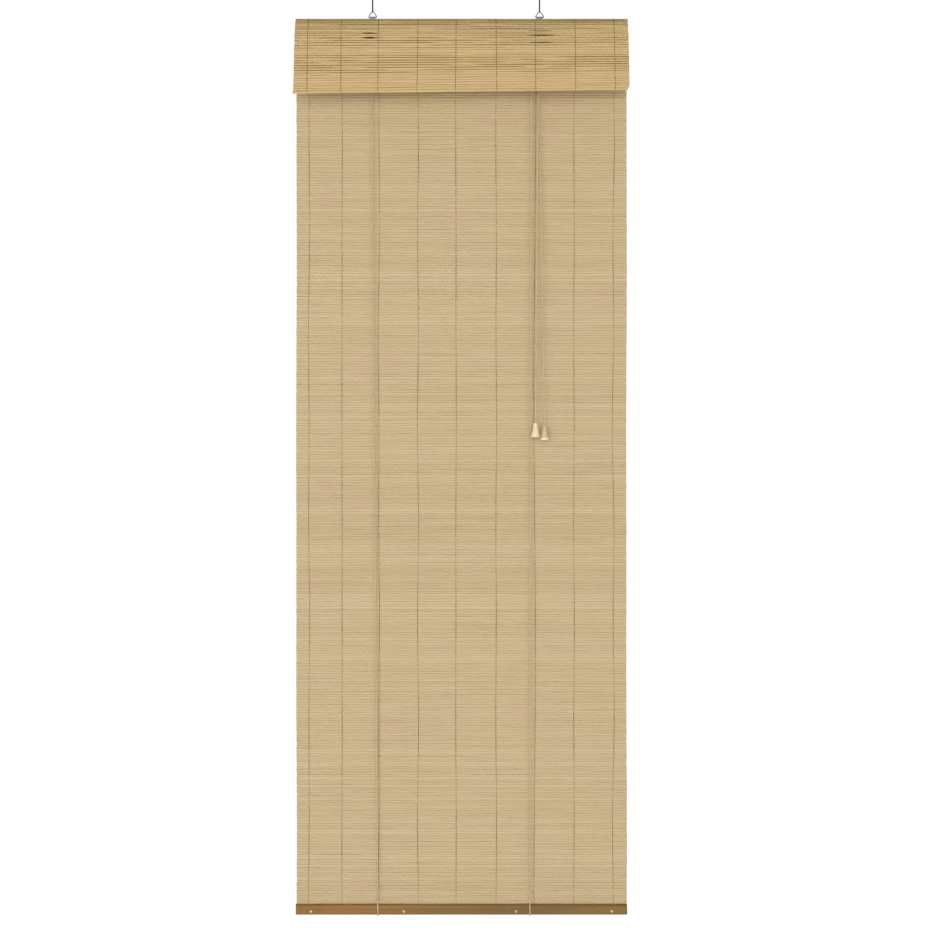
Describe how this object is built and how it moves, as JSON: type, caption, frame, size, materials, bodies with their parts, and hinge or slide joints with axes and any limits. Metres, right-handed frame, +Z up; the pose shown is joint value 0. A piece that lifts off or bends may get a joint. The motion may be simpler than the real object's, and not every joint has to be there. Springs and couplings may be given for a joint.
{
  "type": "bamboo roll up blind",
  "caption": "Woven split-bamboo roll up blind with a folded valance, wooden head and bottom rails, lift cords, a cord lock, bell tassels and wire hangers.",
  "frame": {"origin": "middle of the line between the centres of the two hanger eyes, above the middle of the mat and in its middle plane", "axes": "+Z up; the front of the blind faces -Y; +X to the right when the front is seen"},
  "size_m": [0.602, 0.0549, 1.6817],
  "materials": {
    "bamboo_mat": "clear matt",
    "rail_wood": "planed",
    "batten_wood": "brown stain, satin",
    "peg_wood": "bare",
    "cord": "braided",
    "tassel": "cream",
    "strap_steel": "dull grey",
    "hanger_wire": "dark drawn wire",
    "housing_steel": "dark bronze",
    "axle_steel": "turned",
    "screw_steel": "zinc plated",
    "staple_steel": "galvanised",
    "wheel_nylon": "moulded"
  },
  "bodies": {
    "root": {"head_rail": "rail_wood", "panel_mat": "bamboo_mat", "valance_mat": "bamboo_mat", "panel_staples": "staple_steel", "valance_staples": "staple_steel", "strap_screws": "screw_steel", "housing_screws": "screw_steel", "hanging_strap_left": "strap_steel", "hanging_strap_right": "strap_steel", "hanger_wire_left": "hanger_wire", "hanger_wire_right": "hanger_wire", "pulley_housing": "housing_steel", "pulley_axle": "axle_steel", "cord_lock_housing": "housing_steel", "cord_lock_axle": "axle_steel", "cord_lock_guide_pin": "axle_steel", "anchor_knot_left": "cord", "anchor_knot_right": "cord", "back_run_left": "cord", "back_run_right": "cord", "front_run_left": "cord", "front_run_right": "cord", "transfer_cord": "cord", "lock_turn_cord": "cord", "pull_cord_left": "cord", "pull_cord_right": "cord"},
    "bottom_rail": {"bottom_batten_front": "batten_wood", "bottom_batten_back": "batten_wood", "batten_pins": "peg_wood", "cord_loop_left": "cord", "cord_loop_right": "cord"},
    "pulley_wheel_body": {"pulley_wheel": "wheel_nylon"},
    "lock_wheel_rear_body": {"lock_wheel_rear": "wheel_nylon"},
    "lock_wheel_front_body": {"lock_wheel_front": "wheel_nylon"},
    "locking_roller_body": {"locking_roller": "axle_steel"},
    "tassels": {"tassel_left": "tassel", "tassel_right": "tassel", "tassel_knot_left": "cord", "tassel_knot_right": "cord"}
  },
  "joints": [
    {"name": "lift", "type": "slide", "parent": "root", "child": "bottom_rail", "axis": [0, 0, 1], "range_m": [0, 1.44], "deforming": ["panel_mat", "front_run_left", "front_run_right", "back_run_left", "back_run_right"]},
    {"name": "pull", "type": "slide", "parent": "root", "child": "tassels", "axis": [0, 0, -1], "range_m": [0, 2.88], "deforming": ["pull_cord_left", "pull_cord_right"]},
    {"name": "pulley_turn", "type": "hinge", "parent": "root", "child": "pulley_wheel_body", "pos_m": [-0.1561, -0.0084, -0.084], "axis": [0, 1, 0], "continuous": true},
    {"name": "rear_wheel_turn", "type": "hinge", "parent": "root", "child": "lock_wheel_rear_body", "pos_m": [0.133, -0.0084, -0.084], "axis": [0, 1, 0], "continuous": true},
    {"name": "front_wheel_turn", "type": "hinge", "parent": "root", "child": "lock_wheel_front_body", "pos_m": [0.133, -0.0129, -0.084], "axis": [0, 1, 0], "continuous": true},
    {"name": "roller_grip", "type": "slide", "parent": "root", "child": "locking_roller_body", "axis": [0.4363, 0, 0.8998], "range_m": [0, 0.00366]}
  ],
  "couplings": [
    {"joint": "pull", "follows": "lift", "ratio": 2},
    {"joint": "pulley_turn", "follows": "lift", "rad_per_m": 303.03},
    {"joint": "rear_wheel_turn", "follows": "lift", "rad_per_m": 303.03},
    {"joint": "front_wheel_turn", "follows": "lift", "rad_per_m": 303.03}
  ]
}
